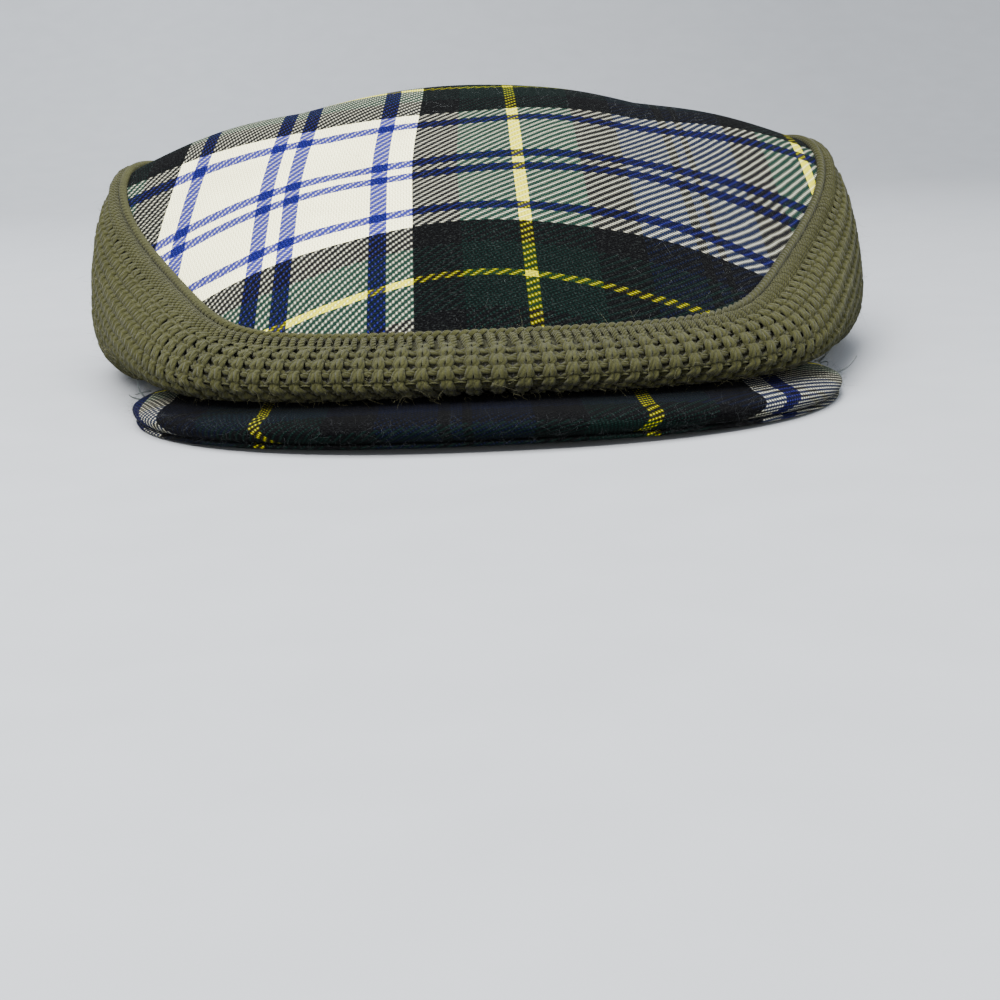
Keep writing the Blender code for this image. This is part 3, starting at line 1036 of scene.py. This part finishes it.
def peak_cover(name, inset, base, thickness, finish, slot, node, columns, rows_edge):
    """A padded cover round the peak: a flat top, a flat bottom, and a rounded lip all round."""
    loop = 2 * (columns + rows_edge)
    piece = grid_piece(name, PEAK_STEPS, loop)
    flat = coordinates(piece)
    turn = HORN_END * np.sin((flat[:, 0] - 0.5) * math.pi)
    outer = peak_edge(turn, inset)
    inner = head_plan(turn * PEAK_ROOT_TURN, PEAK_MARGIN + inset)
    half = np.linalg.norm(outer - inner, axis=1) / 2
    past = np.clip((np.abs(turn) - HORN_START) / (HORN_END - HORN_START), 0, None)
    rounded = half * np.sqrt(np.clip(1 - past * past, HORN_TIP**2, None))
    thick = thickness * (1 - HORN_THINNING * past * past)
    radius = thick / 2
    step = np.round(flat[:, 1] * loop).astype(int) % loop
    side = columns + rows_edge
    bottom = step >= side
    place = step % side
    on_flat = place < columns
    share = np.where(on_flat, place / columns, 1.0)
    angle = np.where(on_flat, 0.0, (place - columns) / rows_edge * math.pi)
    upper = np.where(bottom, angle > math.pi / 2, angle <= math.pi / 2)
    top_bend = np.minimum(radius * PEAK_LIP_FULLNESS, rounded)
    bend = np.where(upper, top_bend, np.minimum(radius * PEAK_LOWER_FULLNESS, rounded))
    out = np.where(on_flat, (rounded - bend) * (2 * share - 1), rounded - bend * (1 - np.sin(angle)))
    up = np.where(on_flat, thick, radius + radius * np.cos(angle))
    cloth_out = np.where(on_flat, out, rounded - top_bend + (radius + top_bend) / 2 * angle)
    out = np.where(bottom, -out, out)
    up = np.where(bottom, thick - up, up)
    cloth_out = np.where(bottom, -cloth_out, cloth_out)
    direction = (outer - inner) / (2 * half)[:, None]
    middle = (inner + outer) / 2
    plan = middle + direction * out[:, None]
    height = base + peak_underside_height(plan[:, 0]) + up
    set_coordinates(piece, np.concatenate((plan, height[:, None]), axis=1))
    cloth = middle + direction * cloth_out[:, None]
    across = cloth[:, 0] - PEAK_CLOTH_MIDDLE + PEAK_YELLOWS_APART / 2
    along = (cloth[:, 1] - PEAK_YELLOW_WEFT_Y) * PEAK_CLOTH_SCALE - YELLOWS_APART * THREAD
    set_uv(piece, across * PEAK_CLOTH_SCALE, along)
    with open_mesh(piece) as bm:
        bmesh.ops.remove_doubles(bm, verts=bm.verts, dist=1e-6)
        bmesh.ops.holes_fill(bm, edges=[edge for edge in bm.edges if edge.is_boundary])
        bmesh.ops.recalc_face_normals(bm, faces=bm.faces)
    return finish_piece(piece, finish, [node])


# Loose fibres: how many, their radius, their least length and what is added to it, and their seed

Hairs = namedtuple("Hairs", "count radius least shape usual most seed")
CROWN_HAIRS = Hairs(2400, 0.000015, 0.0007, 1.5, 0.0007, 0.005, 11)
BAND_HAIRS = Hairs(2400, 0.000022, 0.0010, 1.6, 0.0008, 0.005, 21)
PEAK_HAIRS = Hairs(1100, 0.000014, 0.0008, 1.6, 0.0008, 0.003, 31)
HAIR_SIDES = 3

# The frayed threads: which side each is on, their radius, lengths and seed
FRAYED_SIDES = (1, 1, 1, 1, -1, -1, -1)
FRAYED_RADIUS = 0.00030
FRAYED_LENGTHS = (0.0035, 0.007)
FRAYED_SEED = 41


def hair_lengths(draw, hairs):
    """Most hairs are short and a few are long."""
    return hairs.least + draw.gamma(hairs.shape, hairs.usual, hairs.count).clip(0, hairs.most)


def fibres(name, roots, normals, lengths, radius, finish, slot, seed, lift=(0.2, 0.8), curl=0.7, steps=4):
    """Fine hairs that rise from the cloth, each bent its own way, with the draws of the next seed."""
    draw = np.random.default_rng(seed + 1)
    count = len(roots)
    piece = grid_piece(name, steps, HAIR_SIDES)
    unit = len(piece.data.vertices)
    repeat(piece, (count, (2, 0, 0)))
    flat = coordinates(piece)
    hair = np.arange(len(flat)) // unit
    run = flat[:, 0] - 2 * hair
    angle = flat[:, 1] * TURN
    around = normalised(np.cross(normals, draw.normal(size=(count, 3))))
    rise = draw.uniform(*lift, count)[:, None]
    first = normals * rise + around * np.sqrt(1 - rise**2)
    bend = draw.normal(size=(count, 3)) * curl
    second = draw.normal(size=(count, 3)) * curl
    length = lengths[hair, None]
    run = run[:, None]
    bent = bend[hair] * run**2 * 0.5 + second[hair] * run**3 * 0.3
    middle = roots[hair] + length * (first[hair] * run + bent)
    along = normalised(first[hair] + bend[hair] * run + 0.9 * second[hair] * run**2)
    thick = radius * (1 - 0.6 * run[:, 0])
    points = tube_round(middle, along, angle, thick[:, None])
    points[:, 2] = np.maximum(points[:, 2], FLOOR_REST)
    set_coordinates(piece, points)
    close_seams(piece, 1e-7)
    return finish_piece(piece, finish)


def crown_fibres(finish):
    hairs = CROWN_HAIRS
    draw = np.random.default_rng(hairs.seed)
    turn = draw.uniform(0, TURN, hairs.count)
    share = np.sqrt(draw.uniform(0, 1, hairs.count))
    points = panel_points(turn, share)
    step_turn = panel_points(turn + 1e-3, share) - points
    step_share = panel_points(turn, share + 1e-3) - points
    normals = np.cross(step_share, step_turn)
    normals = normalised(normals * np.sign(normals[:, 2:3]))
    lengths = hair_lengths(draw, hairs)
    fibres("crown_fibres", points, normals, lengths, hairs.radius, finish, "tartan_twill", hairs.seed)


def band_fibres(band, finish):
    hairs = BAND_HAIRS
    draw = np.random.default_rng(hairs.seed)
    share = draw.uniform(0, 1, hairs.count)
    down = draw.uniform(0.001, 1, hairs.count) * band.reach_at(share)
    points = band.wrap(share, down, np.full(len(share), 0.0004))
    normals = band.look_up(band.normals, share, down)
    lengths = hair_lengths(draw, hairs)
    fibres("band_fibres", points, normals, lengths, hairs.radius, finish, "olive_knit", hairs.seed)


def peak_fibres(finish):
    hairs = PEAK_HAIRS
    draw = np.random.default_rng(hairs.seed)
    turn = draw.uniform(-HORN_END, HORN_END, hairs.count)
    angle = draw.uniform(0.1, math.pi * 0.95, hairs.count)
    edge = peak_edge(turn, 0.0)
    outward = normalised(edge - head_plan(turn * PEAK_ROOT_TURN, PEAK_MARGIN))
    radius = PEAK_THICKNESS / 2
    plan = edge + outward * (radius * (np.sin(angle) - 1))[:, None]
    height = UNDERSIDE_WALL + GAP + radius * (1 + np.cos(angle)) + peak_underside_height(plan[:, 0])
    points = np.concatenate((plan, height[:, None]), axis=1)
    normals = np.concatenate((outward * np.sin(angle)[:, None], np.cos(angle)[:, None]), axis=1)
    lengths = hair_lengths(draw, hairs)
    slot = "dark_tartan_twill"
    fibres("peak_fibres", points, normals, lengths, hairs.radius, finish, slot, hairs.seed)


def frayed_threads(finish):
    """The loose ends of the cover's threads at the tips of the peak's horns."""
    draw = np.random.default_rng(FRAYED_SEED)
    count = len(FRAYED_SIDES)
    turn = np.array(FRAYED_SIDES) * HORN_END * draw.uniform(0.82, 0.97, count)
    plan = peak_edge(turn, 0.001)
    height = peak_underside_height(plan[:, 0]) + UNDERSIDE_WALL + GAP + PEAK_THICKNESS * 0.5
    points = np.concatenate((plan, height[:, None]), axis=1)
    away = np.stack((np.sign(turn), 0 * turn, 0.5 + 0 * turn), axis=-1)
    lengths = draw.uniform(*FRAYED_LENGTHS, count)
    slot = "dark_tartan_twill"
    bends = {"lift": (0.8, 1.0), "curl": 1.0, "steps": 14}
    fibres("frayed_threads", points, away, lengths, FRAYED_RADIUS, finish, slot, FRAYED_SEED, **bends)


# The stage: the paper's front, where it starts to rise, its bend's radius, its length and width

SWEEP_FRONT = -3.0
SWEEP_BEND = 1.1
SWEEP_RADIUS = 1.3
SWEEP_LENGTH = 7.5
SWEEP_WIDTH = 9
PAPER = (0.315, 0.328, 0.345)

# The lights: name, place, width and height, power in watts and colour
LIGHTS = (
    ("front_key", (-0.55, -1.65, 1.55), (0.9, 0.9), 138, (1.0, 0.98, 0.95)),
    ("front_low", (-0.2, -1.6, 0.22), (1.6, 0.4), 18, (1.0, 0.99, 0.97)),
    ("right_fill", (1.5, -0.9, 0.9), (1.2, 1.0), 14, (0.95, 0.97, 1.0)),
    ("overhead", (-0.1, 0.1, 1.9), (1.5, 1.5), 98, (0.97, 0.98, 1.0)),
)
LIT_PLACE = (0, 0, 0.03)
ROOM_COLOUR = (0.80, 0.86, 0.95, 1)
ROOM_STRENGTH = 1.2


def sweep():
    """A pale floor that runs up into a backdrop behind."""
    bpy.ops.object.select_all(action="DESELECT")
    bpy.ops.mesh.primitive_grid_add(x_subdivisions=2, y_subdivisions=80, size=1)
    piece = bpy.context.object
    piece.name = "floor_sweep"
    points = coordinates(piece)
    length = (points[:, 1] + 0.5) * SWEEP_LENGTH
    straight = SWEEP_BEND - SWEEP_FRONT
    angle = np.clip((length - straight) / SWEEP_RADIUS, 0, math.pi / 2)
    rise = np.clip(length - straight - SWEEP_RADIUS * math.pi / 2, 0, None)
    bent_y = SWEEP_BEND + SWEEP_RADIUS * np.sin(angle)
    bent_z = SWEEP_RADIUS * (1 - np.cos(angle)) + rise
    y = np.where(length < straight, SWEEP_FRONT + length, bent_y)
    z = np.where(length < straight, 0.0, bent_z)
    set_coordinates(piece, np.stack((points[:, 0] * SWEEP_WIDTH, y, z), axis=1))
    select_only(piece)
    bpy.ops.object.shade_smooth()
    piece.data.materials.append(paper_finish("pale_paper", PAPER))


def light(name, place, size, power, colour):
    data = bpy.data.lights.new(name, "AREA")
    data.shape = "RECTANGLE"
    data.size = size[0]
    data.size_y = size[1]
    data.energy = power
    data.color = colour
    lamp = bpy.data.objects.new(name, data)
    lamp.location = place
    lamp.rotation_euler = (Vector(LIT_PLACE) - Vector(place)).to_track_quat("-Z", "Y").to_euler()
    bpy.context.scene.collection.objects.link(lamp)


def studio():
    sweep()
    for lamp in LIGHTS:
        light(*lamp)
    world = bpy.data.worlds.new("room")
    world.use_nodes = True
    room = world.node_tree.nodes["Background"].inputs
    room["Color"].default_value = ROOM_COLOUR
    room["Strength"].default_value = ROOM_STRENGTH
    bpy.context.scene.world = world


def camera():
    data = bpy.data.cameras.new("camera")
    data.lens = CAMERA_LENS
    data.sensor_width = CAMERA_SENSOR
    data.clip_start = 0.02
    look = Vector(
        (
            math.sin(CAMERA_ASIDE) * math.cos(CAMERA_DOWN),
            math.cos(CAMERA_ASIDE) * math.cos(CAMERA_DOWN),
            -math.sin(CAMERA_DOWN),
        )
    )
    turned = look.to_track_quat("-Z", "Y").to_matrix() @ Matrix.Rotation(CAMERA_ROLL, 3, "Z")
    piece = bpy.data.objects.new("camera", data)
    piece.matrix_world = Matrix.Translation(CAMERA_PLACE) @ turned.to_4x4()
    bpy.context.scene.collection.objects.link(piece)
    bpy.context.scene.camera = piece


def cap():
    tartan = tartan_twill("tartan_wool")
    crown = crown_panel(tartan)
    band = BandMap()
    yarn = olive_yarn("olive_wool")
    # This copy of the yarn paints shade into the knit's hollows
    knit_yarn = olive_yarn("olive_knit_wool", sunk=True)
    quarter = RIB_REPEATS // 4
    for number, side in enumerate(("front", "left", "back", "right")):
        first = number * quarter - quarter // 2
        knit_sector("rib_knit_" + side, band, first, first + quarter, knit_yarn)
    top_stitches(band, yarn)
    # The yarn in the knit's depth is the olive at 0.40: its own colour, darkened into painted shade for
    # the holes in the knit
    band_backing(band, olive_yarn("olive_wool_depth_painted_shade", 0.40))
    edge = rolled_edge(yarn)
    rim_roll(band, yarn)
    # The peak's copy of the tartan is painted a little lighter, painted light on the shaded peak, and has
    # fewer flecks
    peak_twill = tartan_twill("peak_tartan_wool", shade=1.05, fuzz=0.4)
    top = (0.0, UNDERSIDE_WALL + GAP, PEAK_THICKNESS)
    peak_cover("peak_cloth", *top, peak_twill, "dark_tartan_twill", "peak", 44, 12)
    below = (UNDERSIDE_INSET, 0.0, UNDERSIDE_WALL)
    peak_cover("peak_under_cloth", *below, peak_twill, "underside_cloth", "peak_underside", 24, 4)

    crown_fibres(fibre_finish("pale_fibre", (0.10, 0.11, 0.11)))
    band_fibres(band, fibre_finish("olive_fibre", (0.13, 0.125, 0.06)))
    peak_fibres(fibre_finish("dark_fibre", (0.022, 0.026, 0.028)))
    frayed_threads(fibre_finish("grey_thread", (0.05, 0.06, 0.06)))


cap()
studio()
camera()
